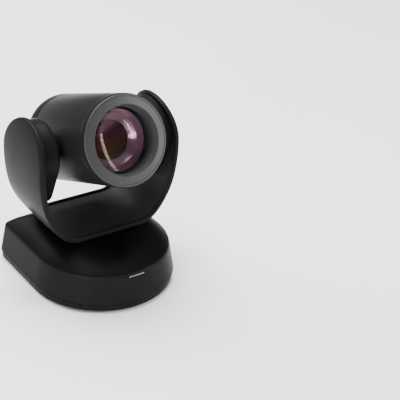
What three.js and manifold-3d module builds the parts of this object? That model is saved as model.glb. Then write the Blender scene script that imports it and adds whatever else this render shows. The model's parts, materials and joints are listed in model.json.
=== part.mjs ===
// A desk-top pan, tilt and zoom conference camera: a D-shaped base, a U-shaped yoke that pans on it,
// and a barrel-shaped head that tilts between the yoke's ears. Millimetres, +Z up, lens towards -Y.
import * as THREE from "three";
import { mergeVertices } from "three/addons/utils/BufferGeometryUtils.js";
import Module from "manifold-3d";

const wasm = await Module();
wasm.setup();

// ---------------------------------------------------------------- driving dimensions
const gap = 0.3; // between pieces that touch
const tiltHeight = 140; // tilt axis above the table
const restTilt = THREE.MathUtils.degToRad(22); // the head is stored looking up by this much

const base = {
  halfWidth: 73.5,
  noseCentre: -17.5, // centre of the half-round front
  noseReach: 74, // from that centre to the front
  rear: 62,
  corner: 11,
  wall: 2.4,
  footHeight: 1.5,
  underside: 1.8,
  skirtInset: 1.6, // the skirt under the band steps in by this much
  bandLow: 8.5,
  bandHigh: 37,
  bandInset: 5.5,
  bandRear: 57.5,
  deckTop: 51.4,
  neckRadius: 33,
  deckPower: 2.6, // how fast the deck rises behind the band
};

// The strap's outside is three arcs that run into each other: a corner, a side and an upper bow.
const yoke = {
  wall: 3,
  cornerRadius: 31.3,
  sideRadius: 80.6,
  upperRadius: 149,
  sideCentreX: -5.7, // of the right-hand side; the left is its mirror image
  sideCentreZ: 116.9,
  cornerAngle: THREE.MathUtils.degToRad(42), // below level, where corner and side meet
  upperAngle: THREE.MathUtils.degToRad(12), // below level, where side and upper bow meet
  earAngle: THREE.MathUtils.degToRad(20), // above level, past the top of the ear
  halfWidth: 38.3,
  earCentreZ: 137,
  trimWall: 1.2,
  trimHalfWidth: 33,
  trimAngle: THREE.MathUtils.degToRad(30),
  housingInner: 50, // face beside the barrel
  housingTop: 31,
  housingToe: 18,
  housingDrop: 34,
};
const cornerShift = yoke.sideRadius - yoke.cornerRadius;
const upperShift = yoke.upperRadius - yoke.sideRadius;
const cornerCentre = new THREE.Vector2(
  yoke.sideCentreX + cornerShift * Math.cos(yoke.cornerAngle),
  yoke.sideCentreZ - cornerShift * Math.sin(yoke.cornerAngle),
);
const upperCentre = new THREE.Vector2(
  yoke.sideCentreX - upperShift * Math.cos(yoke.upperAngle),
  yoke.sideCentreZ + upperShift * Math.sin(yoke.upperAngle),
);
const yokeUnderside = cornerCentre.y - yoke.cornerRadius;
const yokeHalfSpan = upperCentre.x + yoke.upperRadius;

const head = {
  radius: 43.1,
  front: 63, // of the barrel, ahead of the tilt axis
  rear: 56, // behind it
  wall: 2.4,
  capLength: 14,
  ringRadius: 42.3,
  ringEdge: 64.2,
  ringFace: 66.8,
  ringLip: 33,
  boreRadius: 30.8,
  boreStart: 59.9,
};

const panDrive = { wheel: 21, pinion: 7, low: 18, high: 26, motorY: -46 };
const tiltDrive = { wheel: 15, pinion: 5, low: 61.5, high: 66, motorDrop: 34 };
const belt = { clearance: 0.4, thickness: 1.2, margin: 1 };
const optics = { tube: 30, tubeWall: 2.5, front: -43.2, rear: 20, rodOffset: 23.5, screwOffset: 22 };

const roundFine = 44;
const roundMedium = 20;
const roundSmall = 10;

// ---------------------------------------------------------------- solids
function signedVolume(positions, index) {
  const a = new THREE.Vector3();
  const b = new THREE.Vector3();
  const c = new THREE.Vector3();
  let volume = 0;
  for (let i = 0; i < index.length; i += 3) {
    a.fromArray(positions, index[i] * 3);
    b.fromArray(positions, index[i + 1] * 3);
    c.fromArray(positions, index[i + 2] * 3);
    volume += a.dot(b.cross(c)) / 6;
  }
  return volume;
}

// Turns a closed three.js geometry into a solid with outward faces.
function solid(geometry) {
  const bare = geometry.clone();
  bare.deleteAttribute("normal");
  bare.deleteAttribute("uv");
  const merged = mergeVertices(bare, 1e-4);
  const positions = new Float32Array(merged.attributes.position.array);
  const kept = [];
  const source = merged.index.array;
  for (let i = 0; i < source.length; i += 3) {
    const [p, q, r] = [source[i], source[i + 1], source[i + 2]];
    if (p !== q && q !== r && r !== p) kept.push(p, q, r);
  }
  if (signedVolume(positions, kept) < 0) kept.reverse();
  const triVerts = new Uint32Array(kept);
  return new wasm.Manifold(new wasm.Mesh({ numProp: 3, vertProperties: positions, triVerts }));
}

function geometryOf(body) {
  const mesh = body.getMesh();
  const geometry = new THREE.BufferGeometry();
  geometry.setAttribute("position", new THREE.BufferAttribute(new Float32Array(mesh.vertProperties), 3));
  geometry.setIndex(new THREE.BufferAttribute(new Uint32Array(mesh.triVerts), 1));
  return geometry;
}

function cut(body, ...tools) {
  return tools.reduce((rest, tool) => rest.subtract(tool), body);
}

function join(body, ...others) {
  return others.reduce((sum, other) => sum.add(other), body);
}

// A block between two corners.
function block(x0, x1, y0, y1, z0, z1) {
  const geometry = new THREE.BoxGeometry(x1 - x0, y1 - y0, z1 - z0);
  geometry.translate((x0 + x1) / 2, (y0 + y1) / 2, (z0 + z1) / 2);
  return solid(geometry);
}

// An outline extruded along an axis; its two coordinates are the other two axes in X, Y, Z order.
function extruded(shape, axis, from, to, curveSegments = roundMedium) {
  const geometry = new THREE.ExtrudeGeometry(shape, { depth: to - from, bevelEnabled: false, curveSegments });
  const turn = new THREE.Matrix4();
  const x = new THREE.Vector3(1, 0, 0);
  const y = new THREE.Vector3(0, 1, 0);
  const z = new THREE.Vector3(0, 0, 1);
  if (axis === "x") turn.makeBasis(y, z, x).setPosition(from, 0, 0);
  if (axis === "y") turn.makeBasis(x, z, y.clone().negate()).setPosition(0, to, 0);
  if (axis === "z") turn.setPosition(0, 0, from);
  geometry.applyMatrix4(turn);
  return solid(geometry);
}

// A turned piece: the profile is a list of [radius, distance along the axis].
function turned(profile, axis = "y", segments = roundFine) {
  const points = profile.map(([radius, along]) => new THREE.Vector2(radius, along));
  if (profile[0][0] > 0) points.push(points[0].clone());
  const geometry = new THREE.LatheGeometry(points, segments);
  if (axis === "z") geometry.rotateX(Math.PI / 2);
  if (axis === "x") geometry.rotateZ(-Math.PI / 2);
  return solid(geometry);
}

function tube(inner, outer, from, to, axis = "y", segments = roundFine) {
  return turned([[inner, from], [outer, from], [outer, to], [inner, to]], axis, segments);
}

function rod(radius, from, to, axis = "y", segments = roundSmall) {
  return turned([[0, from], [radius, from], [radius, to], [0, to]], axis, segments);
}

function moved(body, x, y, z) {
  const geometry = geometryOf(body);
  geometry.translate(x, y, z);
  return solid(geometry);
}

// Two circles joined by their outer tangents; the second is straight below the first.
function teardrop(top, toe, drop) {
  const lean = Math.asin((top - toe) / drop);
  const shape = new THREE.Shape();
  shape.absarc(0, 0, top, -lean, Math.PI + lean, false);
  shape.absarc(0, -drop, toe, Math.PI + lean, 2 * Math.PI - lean, false);
  shape.closePath();
  return shape;
}

// Skins a stack of rings with equal point counts. A looped stack closes on its first ring.
function skinned(rings) {
  const count = rings[0].length;
  const positions = rings.flat().flatMap((point) => point.toArray());
  const index = [];
  rings.forEach((ring, level) => {
    const next = (level + 1) % rings.length;
    for (let i = 0; i < count; i++) {
      const j = (i + 1) % count;
      index.push(level * count + i, level * count + j, next * count + j);
      index.push(level * count + i, next * count + j, next * count + i);
    }
  });
  const geometry = new THREE.BufferGeometry();
  geometry.setAttribute("position", new THREE.Float32BufferAttribute(positions, 3));
  geometry.setIndex(index);
  return solid(geometry);
}

// ---------------------------------------------------------------- scene helpers
const camera = new THREE.Group();
const baseGroup = new THREE.Group();
const yokeGroup = new THREE.Group();
const headGroup = new THREE.Group();
headGroup.position.z = tiltHeight;
headGroup.rotation.x = -restTilt;
yokeGroup.add(headGroup);
camera.add(baseGroup, yokeGroup);

const finishes = {
  charcoal: { color: 0x1d1d1f, roughness: 0.42, metalness: 0 },
  black: { color: 0x0c0c0d, roughness: 0.55, metalness: 0 },
  ring: { color: 0x4a4a4d, roughness: 0.38, metalness: 0.2 },
  glass: { color: 0x4c2440, roughness: 0.05, metalness: 0 },
  steel: { color: 0x9a9da1, roughness: 0.35, metalness: 1 },
  brass: { color: 0xb08d45, roughness: 0.3, metalness: 1 },
  rubber: { color: 0x111111, roughness: 0.9, metalness: 0 },
  board: { color: 0x14492c, roughness: 0.6, metalness: 0 },
  window: { color: 0x8d9096, roughness: 0.2, metalness: 0 },
  aluminium: { color: 0xb8bbc0, roughness: 0.4, metalness: 1 },
};

function place(group, name, body, finish) {
  const mesh = new THREE.Mesh(geometryOf(body), new THREE.MeshStandardMaterial(finishes[finish]));
  mesh.name = name;
  group.add(mesh);
}

// ---------------------------------------------------------------- base
// The plan outline of the base: half-round front, straight sides, flat rear with round corners.
function planOutline(inset, rear, z) {
  const halfWidth = base.halfWidth - inset;
  const reach = base.noseReach - inset;
  const corner = Math.max(base.corner - inset, 2);
  const outline = new THREE.Path();
  outline.absellipse(0, base.noseCentre, halfWidth, reach, Math.PI, 2 * Math.PI, false, 0);
  outline.absarc(halfWidth - corner, rear - corner, corner, 0, Math.PI / 2, false);
  outline.absarc(corner - halfWidth, rear - corner, corner, Math.PI / 2, Math.PI, false);
  outline.closePath();
  // In order: nose, right side, corner, rear edge, corner, left side.
  const steps = [24, 3, 3, 6, 3, 3];
  const points = outline.curves.flatMap((curve, i) => curve.getPoints(steps[i]).slice(0, -1));
  return points.map((point) => new THREE.Vector3(point.x, point.y, z));
}

function rearAt(z) {
  const share = (z - base.bandLow) / (base.bandHigh - base.bandLow);
  return base.rear + (base.bandRear - base.rear) * share;
}

// One ring of the domed deck; share runs from 0 at the band's top edge to 1 at the neck.
function deckRing(share, depth) {
  const rim = planOutline(base.bandInset + depth, base.bandRear - depth, 0);
  const rise = 1 - (1 - share) ** base.deckPower;
  const z = base.bandHigh + (base.deckTop - base.bandHigh) * rise - depth;
  return rim.map((point) => {
    const neck = new THREE.Vector3(point.x, point.y, 0).setLength(base.neckRadius);
    return new THREE.Vector3().lerpVectors(point, neck, share).setZ(z);
  });
}

const deckShares = [0, 0.06, 0.16, 0.36, 1];
const wall = base.wall;
const skirtRear = base.rear - base.skirtInset;
const outerRings = [
  planOutline(base.skirtInset, skirtRear, base.underside),
  planOutline(0, base.rear, base.bandLow),
  ...deckShares.map((share) => deckRing(share, 0)),
];
const innerRings = [
  planOutline(base.skirtInset + wall, skirtRear - wall, base.underside),
  planOutline(wall, base.rear - wall, base.bandLow),
  ...deckShares.map((share) => deckRing(share, wall)),
];
const coverShell = skinned([...outerRings, ...innerRings.reverse()]);

const bay = { halfWidth: 48, low: 12, high: 33.5, floor: 51, plate: 2 };
const bayCut = block(-bay.halfWidth, bay.halfWidth, bay.floor - 2, base.rear + 5, bay.low, bay.high);
const indicator = { halfWidth: 8.5, low: 32.9, high: 34.9, front: -86.1, back: -83.8 };
const indicatorCut = block(
  -indicator.halfWidth - gap, indicator.halfWidth + gap,
  indicator.front - 3, indicator.back + 3,
  indicator.low - gap, indicator.high + gap,
);
place(baseGroup, "base_cover", cut(coverShell, bayCut, indicatorCut), "charcoal");
place(baseGroup, "indicator_window", block(
  -indicator.halfWidth, indicator.halfWidth, indicator.front, indicator.back, indicator.low, indicator.high,
), "window");

// The bottom plate sits inside the skirt.
const plateTop = 4.2;
const plateInset = base.skirtInset + wall + gap;
const plateShape = new THREE.Shape(
  planOutline(plateInset, base.rear - plateInset, 0).map((point) => new THREE.Vector2(point.x, point.y)),
);
const legs = [[-38, -52], [38, -52], [-38, 22], [38, 22]];
const screw = { head: 2.8, headHeight: 1.5, shank: 1.3, length: 9, recess: 0.1 };
const plateHoles = legs.flatMap(([x, y]) => [
  moved(rod(screw.head + gap, base.underside - 1, base.underside + screw.headHeight + gap, "z"), x, y, 0),
  moved(rod(screw.shank + gap, 0, plateTop + 1, "z"), x, y, 0),
]);
const insert = { bore: 3.2, body: 6, flange: 8.5, top: 13 };
const insertHole = rod(insert.body + gap, 0, plateTop + 1, "z", roundMedium);
place(baseGroup, "base_plate",
  cut(extruded(plateShape, "z", base.underside, plateTop), insertHole, ...plateHoles), "black");
const insertLow = base.underside + 0.2;
const insertSeat = plateTop + gap;
place(baseGroup, "tripod_insert", turned([
  [insert.bore, insertLow], [insert.body, insertLow], [insert.body, insertSeat],
  [insert.flange, insertSeat], [insert.flange, insertSeat + 2], [insert.body, insertSeat + 2],
  [insert.body, insert.top], [insert.bore, insert.top],
], "z", roundMedium), "brass");

const feet = { radius: 7, top: base.footHeight };
const footSpots = {
  front_left: [-24, -66],
  front_right: [24, -66],
  rear_left: [-54, 44],
  rear_right: [54, 44],
};
for (const [corner, [x, y]] of Object.entries(footSpots)) {
  const foot = rod(feet.radius, 0, feet.top, "z", roundMedium);
  place(baseGroup, `foot_${corner}`, moved(foot, x, y, 0), "rubber");
}

legs.forEach(([x, y], i) => {
  const low = base.underside + screw.recess;
  const seat = low + screw.headHeight;
  const body = turned(
    [[0, low], [screw.head, low], [screw.head, seat], [screw.shank, seat], [screw.shank, low + screw.length],
      [0, low + screw.length]],
    "z", roundSmall,
  );
  place(baseGroup, `base_screw_${i + 1}`, moved(body, x, y, 0), "steel");
});

// Ballast under the front keeps the camera standing when the head looks forward.
const ballast = { halfWidth: 28, front: -66, back: -20, top: 12 };
place(baseGroup, "ballast_weight", block(
  -ballast.halfWidth, ballast.halfWidth, ballast.front, ballast.back, plateTop + gap, ballast.top,
), "steel");

// The pan chassis is a plate on four legs; it carries the bearing and the motor.
const chassis = { halfWidth: 43, front: -62, back: 27, low: 30, high: 32.4, leg: 4.5 };
const bearing = { inner: 10.3, outer: 15, flange: 19, low: 28, high: 37 };
const legBlocks = legs.map(([x, y]) => block(
  x - chassis.leg, x + chassis.leg, y - chassis.leg, y + chassis.leg, plateTop + gap, chassis.low + 0.5,
));
const pilotHoles = legs.map(([x, y]) => moved(rod(screw.shank + gap, 0, screw.length + 5, "z"), x, y, 0));
place(baseGroup, "pan_chassis", cut(
  join(block(-chassis.halfWidth, chassis.halfWidth, chassis.front, chassis.back, chassis.low, chassis.high),
    ...legBlocks),
  rod(bearing.outer + gap, chassis.low - 1, chassis.high + 1, "z", roundMedium),
  moved(rod(panDrive.pinion + 1, chassis.low - 1, chassis.high + 1, "z", roundMedium), 0, panDrive.motorY, 0),
  ...pilotHoles,
), "steel");
place(baseGroup, "pan_bearing", turned([
  [bearing.inner, bearing.low], [bearing.outer, bearing.low], [bearing.outer, chassis.high + gap],
  [bearing.flange, chassis.high + gap], [bearing.flange, bearing.high], [bearing.inner, bearing.high],
], "z", roundMedium), "steel");
const panMotor = { radius: 13.5, top: 45 };
const panMotorBody = rod(panMotor.radius, chassis.high + gap, panMotor.top, "z", roundMedium);
place(baseGroup, "pan_motor", moved(panMotorBody, 0, panDrive.motorY, 0), "steel");

// A closed belt round two pulleys, lying in the plane of the shape.
function beltShape(wheel, pinion, distance) {
  const inside = belt.clearance;
  const outside = belt.clearance + belt.thickness;
  const shape = teardrop(wheel + outside, pinion + outside, distance);
  shape.holes.push(teardrop(wheel + inside, pinion + inside, distance));
  return shape;
}
place(baseGroup, "pan_belt", extruded(
  beltShape(panDrive.wheel, panDrive.pinion, -panDrive.motorY), "z",
  panDrive.low + belt.margin, panDrive.high - belt.margin, 10,
), "rubber");

// Circuit board with the rear sockets, and the bay they open into.
const board = { halfWidth: 50, front: 29, back: 50, low: 8, thickness: 1.6 };
const boardTop = board.low + board.thickness;
place(baseGroup, "main_board",
  block(-board.halfWidth, board.halfWidth, board.front, board.back, board.low, boardTop), "board");

const sockets = [
  { name: "power_inlet", x: -36, width: 10, height: 11, hole: 6.4, round: true, pin: 1 },
  { name: "usb_port", x: -14, width: 13, height: 12.5, hole: 9, tall: 8.4 },
  { name: "speaker_port", x: 10, width: 13, height: 13, hole: 9.6, round: true },
  { name: "lan_port", x: 34, width: 16, height: 13.5, hole: 12, tall: 9 },
];
const socketFront = 36;
const socketBack = bay.floor + bay.plate + 0.6;
const bayOutline = new THREE.Shape([
  new THREE.Vector2(bay.floor, bay.low + gap),
  new THREE.Vector2(rearAt(bay.low) - 0.8, bay.low + gap),
  new THREE.Vector2(rearAt(bay.high) - 0.8, bay.high - gap),
  new THREE.Vector2(bay.floor, bay.high - gap),
]);
const bayBlock = extruded(bayOutline, "x", -bay.halfWidth + gap, bay.halfWidth - gap);
const bayWall = 1.6;
const bayHollow = block(
  -bay.halfWidth + gap + bayWall, bay.halfWidth - gap - bayWall,
  bay.floor + bay.plate, base.rear + 5, bay.low + gap + bayWall, bay.high - gap - bayWall,
);
const socketBase = bay.low + gap + bayWall + 1;
const socketCuts = sockets.map(({ x, width, height }) => block(
  x - width / 2 - gap, x + width / 2 + gap, bay.floor - 1, bay.floor + bay.plate + 1,
  socketBase - gap, socketBase + height + gap,
));
place(baseGroup, "io_panel", cut(bayBlock, bayHollow, ...socketCuts), "black");

for (const socket of sockets) {
  const { name, x, width, height, hole, tall } = socket;
  const middle = socketBase + height / 2;
  const shell = block(x - width / 2, x + width / 2, socketFront, socketBack, socketBase, socketBase + height);
  const depth = socketBack - 12;
  const mouth = socket.round
    ? moved(rod(hole / 2, depth, socketBack + 1, "y", roundMedium), x, 0, middle)
    : block(x - hole / 2, x + hole / 2, depth, socketBack + 1, middle - tall / 2, middle + tall / 2);
  let body = cut(shell, mouth);
  if (socket.pin) body = join(body, moved(rod(socket.pin, depth - 1, socketBack - 1.5, "y"), x, 0, middle));
  place(baseGroup, name, body, "black");
}

// ---------------------------------------------------------------- pan drive
place(baseGroup, "pan_motor_pulley", moved(join(
  rod(panDrive.pinion, panDrive.low, panDrive.high, "z", roundMedium),
  rod(2, panDrive.high - 1, chassis.high, "z"),
), 0, panDrive.motorY, 0), "aluminium");

// ---------------------------------------------------------------- yoke
// Everything inside the strap, seen from the front, at a depth from its outside. The arcs run from the
// left ear down round the floor to the right ear; topAngle is where they end, above level.
function insideOf(depth, topAngle) {
  const corner = yoke.cornerRadius - depth;
  const side = yoke.sideRadius - depth;
  const upper = yoke.upperRadius - depth;
  const half = Math.PI;
  const bottom = half * 1.5;
  const shape = new THREE.Shape();
  shape.absarc(-upperCentre.x, upperCentre.y, upper, half - topAngle, half + yoke.upperAngle, false);
  const [level, steep] = [yoke.upperAngle, yoke.cornerAngle];
  shape.absarc(-yoke.sideCentreX, yoke.sideCentreZ, side, half + level, half + steep, false);
  shape.absarc(-cornerCentre.x, cornerCentre.y, corner, half + yoke.cornerAngle, bottom, false);
  shape.absarc(cornerCentre.x, cornerCentre.y, corner, bottom, 2 * half - yoke.cornerAngle, false);
  shape.absarc(yoke.sideCentreX, yoke.sideCentreZ, side, -yoke.cornerAngle, -yoke.upperAngle, false);
  shape.absarc(upperCentre.x, upperCentre.y, upper, -yoke.upperAngle, topAngle, false);
  shape.closePath();
  return shape;
}

const strapSteps = 7; // straight lengths that each arc is made of
function strapSlab(depth, topAngle, reach) {
  return extruded(insideOf(depth, topAngle), "y", -reach, reach, strapSteps);
}
const strapReach = yoke.halfWidth + 5;
const hollowAngle = yoke.earAngle * 1.2; // hollows run out past the ears' tops
const outerStrap = strapSlab(0, yoke.earAngle, strapReach);
const innerStrap = strapSlab(yoke.wall, hollowAngle, strapReach + 5);
const sideOutline = new THREE.Shape();
sideOutline.moveTo(-yoke.halfWidth, yokeUnderside - 5);
sideOutline.lineTo(yoke.halfWidth, yokeUnderside - 5);
sideOutline.absarc(0, yoke.earCentreZ, yoke.halfWidth, 0, Math.PI, false);
sideOutline.closePath();
const sideView = extruded(sideOutline, "x", -yokeHalfSpan - 5, yokeHalfSpan + 5, 20);
const cableHole = 6;
place(yokeGroup, "yoke_shell", cut(
  outerStrap.intersect(sideView), innerStrap,
  rod(cableHole, yokeUnderside - 1, yokeUnderside + yoke.wall + 1, "z"),
), "charcoal");

// The trim over the inside of the strap, between the two ear housings.
const trimDepth = yoke.wall + gap;
const trimBand = strapSlab(trimDepth, yoke.earAngle, yoke.trimHalfWidth);
const trimHollow = strapSlab(trimDepth + yoke.trimWall, hollowAngle, strapReach);
const trimTop = yoke.sideCentreZ - (yoke.sideRadius - trimDepth) * Math.sin(yoke.trimAngle);
place(yokeGroup, "yoke_inner_trim", cut(
  trimBand, trimHollow,
  block(-yokeHalfSpan, yokeHalfSpan, -strapReach, strapReach, trimTop, tiltHeight * 2),
), "charcoal");

// Each ear housing is a cup over the ear's inner side, open towards the ear.
const insideStrap = strapSlab(trimDepth, yoke.earAngle, strapReach);
const housingWall = 2;
const housingSteps = 10;
const tiltBearing = { inner: 8.3, outer: 11, length: 6 };
function earHousing(side) {
  const low = yoke.housingInner;
  const high = yokeHalfSpan;
  const range = (from, to) => (side > 0 ? [from, to] : [-to, -from]);
  const outline = (inset) => teardrop(yoke.housingTop - inset, yoke.housingToe - inset, yoke.housingDrop);
  const outside = extruded(outline(0), "x", ...range(low, high), housingSteps);
  const hollow = extruded(outline(housingWall), "x", ...range(low + housingWall, high + 5), housingSteps);
  const shaftHole = rod(tiltBearing.outer + gap, ...range(low - 1, low + 5), "x", roundMedium);
  const rounded = moved(outside, 0, 0, tiltHeight).intersect(insideStrap);
  return cut(rounded, moved(hollow, 0, 0, tiltHeight), moved(shaftHole, 0, 0, tiltHeight));
}
place(yokeGroup, "ear_housing_left", earHousing(-1), "charcoal");
place(yokeGroup, "ear_housing_right", earHousing(1), "charcoal");

for (const [side, sign] of [["left", -1], ["right", 1]]) {
  const from = yoke.housingInner + gap;
  const ends = [sign * from, sign * (from + tiltBearing.length)].sort((p, q) => p - q);
  const ring = tube(tiltBearing.inner, tiltBearing.outer, ends[0], ends[1], "x", roundMedium);
  place(yokeGroup, `tilt_bearing_${side}`, moved(ring, 0, 0, tiltHeight), "steel");
}

// The hub hangs under the yoke: a turntable disc in the deck's neck and a tube through the bearing.
const hub = { bore: 6, tube: 10, disc: 32.4, discLow: 46.5, bottom: 16 };
place(yokeGroup, "pan_hub", turned([
  [hub.bore, hub.bottom], [hub.tube, hub.bottom], [hub.tube, hub.discLow], [hub.disc, hub.discLow],
  [hub.disc, yokeUnderside - gap], [hub.bore, yokeUnderside - gap],
], "z"), "black");
place(yokeGroup, "pan_pulley",
  tube(hub.tube + gap, panDrive.wheel, panDrive.low, panDrive.high, "z"), "aluminium");

// Tilt motor, in the toe of the right ear housing.
const tiltMotorZ = tiltHeight - tiltDrive.motorDrop;
const tiltMotor = { radius: 13, from: 52.3, to: 60.5, shaft: 1.5 };
place(yokeGroup, "tilt_motor",
  moved(rod(tiltMotor.radius, tiltMotor.from, tiltMotor.to, "x", roundMedium), 0, 0, tiltMotorZ), "steel");
place(yokeGroup, "tilt_belt", moved(extruded(
  beltShape(tiltDrive.wheel, tiltDrive.pinion, tiltDrive.motorDrop), "x",
  tiltDrive.low + belt.margin, tiltDrive.high - belt.margin, 10,
), 0, 0, tiltHeight), "rubber");
place(yokeGroup, "tilt_motor_pulley", moved(join(
  rod(tiltDrive.pinion, tiltDrive.low, tiltDrive.high, "x", roundMedium),
  rod(tiltMotor.shaft, tiltMotor.to + gap, tiltDrive.low + 1, "x"),
), 0, 0, tiltMotorZ), "aluminium");

// ---------------------------------------------------------------- head
const shaft = { bore: 5, radius: 8, collar: 13, innerFlange: 12 };
const capStart = head.rear - head.capLength;
const shaftHoles = [
  rod(shaft.radius + gap, 30, 50, "x", roundMedium),
  rod(shaft.radius + gap, -50, -30, "x", roundMedium),
];
place(headGroup, "head_barrel", cut(
  tube(head.radius - head.wall, head.radius, -head.front, capStart - gap), ...shaftHoles,
), "charcoal");

// The rear cap is a cup with cooling slots.
const capEdge = 1.5;
const capInside = head.radius - head.wall;
const capFloor = head.rear - head.wall;
const capBody = turned([
  [0, head.rear], [head.radius - capEdge, head.rear], [head.radius, head.rear - capEdge],
  [head.radius, capStart], [capInside, capStart], [capInside, capFloor], [0, capFloor],
]);
const slots = [-2.5, -1.5, -0.5, 0.5, 1.5, 2.5].map((row) => {
  const halfLength = 22 - Math.abs(row) * 1.5;
  return block(-halfLength, halfLength, head.rear - 5, head.rear + 5, row * 6 - 1.1, row * 6 + 1.1);
});
place(headGroup, "head_rear_cap", cut(capBody, ...slots), "charcoal");

const ringSeat = head.front + gap;
const ringSpigot = head.radius - head.wall - gap;
const ringBack = 54;
place(headGroup, "front_ring", turned([
  [head.ringLip, -head.ringFace], [head.ringRadius, -head.ringEdge], [head.ringRadius, -ringSeat],
  [ringSpigot, -ringSeat], [ringSpigot, -ringBack],
  [head.boreRadius, -ringBack], [head.boreRadius, -head.boreStart],
]), "ring");

const hood = { outer: 34, inner: 30.8, front: -ringBack + gap, back: -43.5, seat: -45.2, lip: 25 };
place(headGroup, "lens_hood", turned([
  [hood.inner, hood.front], [hood.outer, hood.front], [hood.outer, hood.back], [hood.lip, hood.back],
  [hood.lip, hood.seat], [hood.inner, hood.seat],
]), "black");

// A lens element: two spherical faces joined by a ground edge.
function lensElement(radius, front, frontSag, back, backSag, segments = roundMedium) {
  const face = (start, sag) => {
    const steps = sag === 0 ? 1 : 4;
    const shares = Array.from({ length: steps + 1 }, (_, i) => i / steps);
    return shares.map((share) => [radius * share, start + sag * share ** 2]);
  };
  return turned([...face(front, frontSag), ...face(back, backSag).reverse()], "y", segments);
}
place(headGroup, "front_lens", lensElement(29.2, -52, 4.9, -45.5, 0, roundFine), "glass");

const tubeInner = optics.tube - optics.tubeWall;
const rearWall = 3;
const filterHole = 9;
const guides = [[-optics.rodOffset, 0], [optics.rodOffset, 0]];
const screws = { zoom: [0, optics.screwOffset], focus: [0, -optics.screwOffset] };
function along(radius, from, to, [x, z]) {
  return moved(rod(radius, from, to), x, 0, z);
}
place(headGroup, "lens_tube", cut(
  turned([
    [tubeInner, optics.front], [optics.tube, optics.front], [optics.tube, optics.rear],
    [filterHole, optics.rear], [filterHole, optics.rear - rearWall], [tubeInner, optics.rear - rearWall],
  ]),
  ...Object.values(screws).map((spot) => along(2.2, optics.rear - 5, optics.rear + 5, spot)),
), "black");
place(headGroup, "front_group_cell", turned([
  [24.4, -42.6], [tubeInner - gap, -42.6], [tubeInner - gap, -30], [17.5, -30], [17.5, -31.5], [24.4, -34],
]), "black");
place(headGroup, "inner_lens", lensElement(24, -41, 1.5, -36, 0), "glass");

const bracket = { inner: optics.tube + gap, outer: ringSpigot };
place(headGroup, "lens_bracket", tube(bracket.inner, bracket.outer, -34, -31.5), "steel");

// Guide rods and lead screws carry the zoom and focus groups.
const guideRadius = 1.5;
const screwRadius = 1.6;
const rodStart = -29.5;
const screwEnd = optics.rear + 1;
const motorRadius = 4.5;
const motorLength = 10;
const rodEnd = optics.rear - rearWall - gap;
guides.forEach((spot, i) => {
  const side = i === 0 ? "left" : "right";
  place(headGroup, `guide_rod_${side}`, along(guideRadius, rodStart, rodEnd, spot), "steel");
});
const groups = {
  zoom: { from: -27, to: -20, lens: 14 },
  focus: { from: 4, to: 10, lens: 12 },
};
for (const [name, { from, to, lens }] of Object.entries(groups)) {
  const carriage = cut(
    tube(lens + gap, tubeInner - 1, from, to, "y", roundMedium),
    ...guides.map((spot) => along(guideRadius + gap, from - 1, to + 1, spot)),
    ...Object.values(screws).map((spot) => along(screwRadius + gap, from - 1, to + 1, spot)),
  );
  place(headGroup, `${name}_carriage`, carriage, "black");
  place(headGroup, `${name}_lens`, lensElement(lens, from + 1, 1, to - 1, -1), "glass");
  place(headGroup, `${name}_screw`, along(screwRadius, rodStart, screwEnd, screws[name]), "steel");
  const motor = along(motorRadius, screwEnd + gap, screwEnd + motorLength, screws[name]);
  place(headGroup, `${name}_motor`, motor, "steel");
}

// The infra-red cut filter slides across the light path just in front of the sensor.
const filter = { halfHeight: 7, front: 20.6, back: 22.2, window: 5 };
const filterShape = block(-16, 8, filter.front, filter.back, -filter.halfHeight, filter.halfHeight);
place(headGroup, "ir_cut_filter", cut(
  filterShape, rod(filter.window, filter.front - 1, filter.back + 1, "y", roundMedium),
  moved(rod(filter.window, filter.front - 1, filter.back + 1, "y", roundMedium), -10.5, 0, 0),
), "black");
// The sensor is soldered to its board, so the two are one piece.
const sensor = { halfWidth: 7, halfHeight: 6, front: 23.5 };
const plate = { halfWidth: 24, halfHeight: 15, front: 25.5, back: 27.4, sinkBack: 30, finEnd: 40 };
const sensorBlock = block(
  -sensor.halfWidth, sensor.halfWidth, sensor.front, plate.front + 0.5, -sensor.halfHeight, sensor.halfHeight,
);
const plateBlock = (front, back) => block(
  -plate.halfWidth, plate.halfWidth, front, back, -plate.halfHeight, plate.halfHeight,
);
place(headGroup, "sensor_board", join(plateBlock(plate.front, plate.back), sensorBlock), "board");
const fins = [-20, -12, -4, 4, 12, 20].map((x) => block(
  x - 1, x + 1, plate.sinkBack - 0.5, plate.finEnd, 1 - plate.halfHeight, plate.halfHeight - 1,
));
place(headGroup, "heat_sink", join(plateBlock(plate.back + gap, plate.sinkBack), ...fins), "aluminium");

// Hollow shafts join the head to the ears; the right one carries the tilt pulley.
for (const [side, sign, end] of [["left", -1, 61], ["right", 1, 66]]) {
  const profile = [
    [shaft.bore, 35], [shaft.innerFlange, 35], [shaft.innerFlange, 37.5], [shaft.radius, 37.5],
    [shaft.radius, 43.6], [shaft.collar, 43.6], [shaft.collar, 49.4], [shaft.radius, 49.4],
    [shaft.radius, end], [shaft.bore, end],
  ].map(([radius, distance]) => [radius, sign * distance]);
  place(headGroup, `tilt_shaft_${side}`, turned(profile, "x", roundMedium), "steel");
}
place(headGroup, "tilt_pulley",
  tube(shaft.radius + gap, tiltDrive.wheel, tiltDrive.low, tiltDrive.high, "x", roundMedium), "aluminium");

// ---------------------------------------------------------------- the row's origin
// Bottom centre of the whole camera's box, which is ahead of the pan axis.
camera.updateMatrixWorld(true);
const extent = new THREE.Box3().setFromObject(camera, true);
const middle = extent.getCenter(new THREE.Vector3());
baseGroup.position.set(-middle.x, -middle.y, -extent.min.z);
yokeGroup.position.copy(baseGroup.position);

export default camera;
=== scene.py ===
import json
import math

import bmesh
import bpy
import numpy as np
from mathutils import Matrix, Vector


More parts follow.
